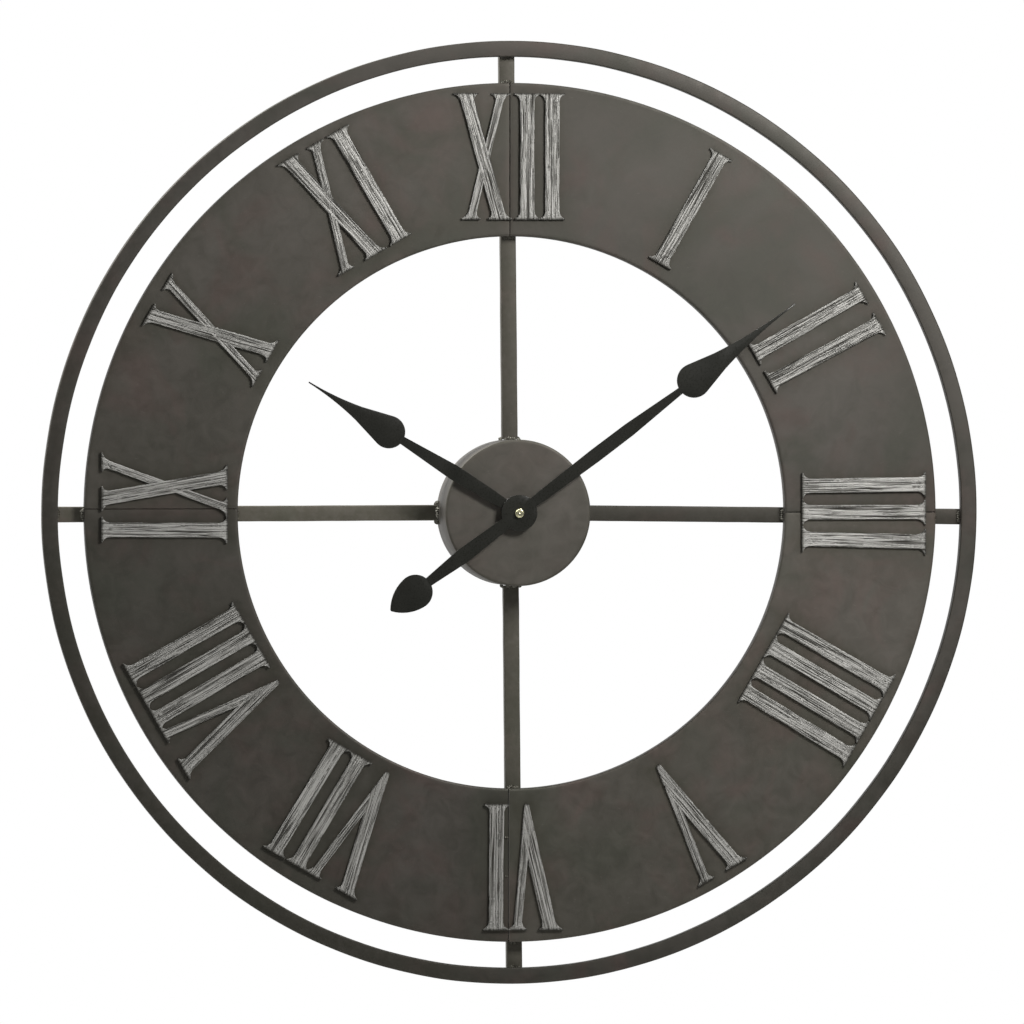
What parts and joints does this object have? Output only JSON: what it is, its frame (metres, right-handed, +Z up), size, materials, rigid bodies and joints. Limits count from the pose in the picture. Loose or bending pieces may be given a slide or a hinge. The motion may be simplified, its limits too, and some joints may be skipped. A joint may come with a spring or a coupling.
{
  "type": "wall clock",
  "caption": "Large open-frame wall clock: a wide sheet dial with raised Roman numerals inside a thin ring, carried on spokes from a drum hub that holds a quartz movement and spade hands.",
  "frame": {"origin": "centre of the hanger keyhole's round opening, on the wall plane; the hands' axis is 40 mm below it", "axes": "+Z up the dial towards 12, +X to the right of the dial towards 3, +Y back into the wall, so the clock faces -Y"},
  "size_m": [0.7109, 0.0642, 0.711],
  "materials": {
    "frame_metal": "mottled dark bronze-grey patina, satin",
    "hub_metal": "mottled dark bronze-grey patina, satin",
    "numeral_metal": "silver streaks brushed over dark, rough",
    "weld_metal": "lumpy welds under the frame's finish",
    "hand_metal": "near-black satin",
    "polished_brass": "turned and polished",
    "brass": "turned",
    "case_plastic": "fine moulded grain",
    "wheel_plastic": "natural moulded, slightly waxy",
    "washer_rubber": "matt",
    "battery_jacket": "printed jacket, plain",
    "spring_steel": "nickel-plated strip",
    "magnet": "sintered",
    "board": "green laminate",
    "crystal_can": "drawn can",
    "copper_winding": "enamelled fine winding"
  },
  "bodies": {
    "frame": {"outer_ring": "frame_metal", "spoke_top": "frame_metal", "spoke_right": "frame_metal", "spoke_bottom": "frame_metal", "spoke_left": "frame_metal", "dial_upper_right": "frame_metal", "dial_lower_right": "frame_metal", "dial_lower_left": "frame_metal", "dial_upper_left": "frame_metal", "dial_outer_rim": "frame_metal", "dial_inner_rim": "frame_metal", "numeral_12": "numeral_metal", "numeral_1": "numeral_metal", "numeral_2": "numeral_metal", "numeral_3": "numeral_metal", "numeral_4": "numeral_metal", "numeral_5": "numeral_metal", "numeral_6": "numeral_metal", "numeral_7": "numeral_metal", "numeral_8": "numeral_metal", "numeral_9": "numeral_metal", "numeral_10": "numeral_metal", "numeral_11": "numeral_metal", "weld_beads": "weld_metal", "hub_drum": "hub_metal", "hub_face": "hub_metal", "hanger_plate": "hub_metal", "movement_case": "case_plastic", "movement_cover": "case_plastic", "threaded_bush": "brass", "rubber_washer": "washer_rubber", "brass_washer": "brass", "hex_nut": "brass", "battery": "battery_jacket", "battery_contacts": "spring_steel", "circuit_board": "board", "quartz_crystal": "crystal_can", "coil": "copper_winding", "stator": "spring_steel"},
    "minute_turn_body": {"minute_hand": "hand_metal", "minute_arbor": "brass", "clutch_spring": "spring_steel", "cap_nut": "polished_brass"},
    "hour_turn_body": {"hour_hand": "hand_metal", "hour_wheel": "wheel_plastic"},
    "minute_works_body": {"minute_works_wheel": "wheel_plastic"},
    "knob_body": {"setting_knob": "case_plastic"},
    "second_body": {"second_wheel": "wheel_plastic"},
    "intermediate_body": {"intermediate_wheel": "wheel_plastic"},
    "rotor_body": {"rotor_pinion": "wheel_plastic", "rotor_magnet": "magnet"},
    "third_body": {"third_wheel": "wheel_plastic"},
    "centre_body": {"centre_wheel": "wheel_plastic"}
  },
  "joints": [
    {"name": "minute_turn", "type": "hinge", "parent": "frame", "child": "minute_turn_body", "pos_m": [0, -0.045, -0.04], "axis": [0, 1, 0], "continuous": true},
    {"name": "hour_turn", "type": "hinge", "parent": "frame", "child": "hour_turn_body", "pos_m": [0, -0.045, -0.04], "axis": [0, 1, 0], "continuous": true},
    {"name": "minute_works_turn", "type": "hinge", "parent": "frame", "child": "minute_works_body", "pos_m": [0, -0.045, -0.028], "axis": [0, 1, 0], "continuous": true},
    {"name": "setting_knob_turn", "type": "hinge", "parent": "frame", "child": "knob_body", "pos_m": [0.01039, -0.045, -0.022], "axis": [0, 1, 0], "continuous": true},
    {"name": "second_wheel_turn", "type": "hinge", "parent": "frame", "child": "second_body", "pos_m": [0, -0.04, -0.04], "axis": [0, 1, 0], "continuous": true},
    {"name": "intermediate_turn", "type": "hinge", "parent": "frame", "child": "intermediate_body", "pos_m": [-0.01123, -0.04, -0.03802], "axis": [0, 1, 0], "continuous": true},
    {"name": "rotor_turn", "type": "hinge", "parent": "frame", "child": "rotor_body", "pos_m": [-0.01422, -0.04, -0.0298], "axis": [0, 1, 0], "continuous": true},
    {"name": "third_wheel_turn", "type": "hinge", "parent": "frame", "child": "third_body", "pos_m": [0.01108, -0.04, -0.03703], "axis": [0, 1, 0], "continuous": true},
    {"name": "centre_wheel_turn", "type": "hinge", "parent": "frame", "child": "centre_body", "pos_m": [0, -0.0429, -0.04], "axis": [0, 1, 0], "continuous": true}
  ],
  "couplings": [
    {"joint": "hour_turn", "follows": "minute_turn", "ratio": 0.083333},
    {"joint": "minute_works_turn", "follows": "minute_turn", "ratio": -0.33333},
    {"joint": "setting_knob_turn", "follows": "minute_turn", "ratio": 1},
    {"joint": "intermediate_turn", "follows": "second_wheel_turn", "ratio": -5},
    {"joint": "rotor_turn", "follows": "second_wheel_turn", "ratio": 30},
    {"joint": "third_wheel_turn", "follows": "second_wheel_turn", "ratio": -0.13333},
    {"joint": "centre_wheel_turn", "follows": "second_wheel_turn", "ratio": 0.016667}
  ]
}
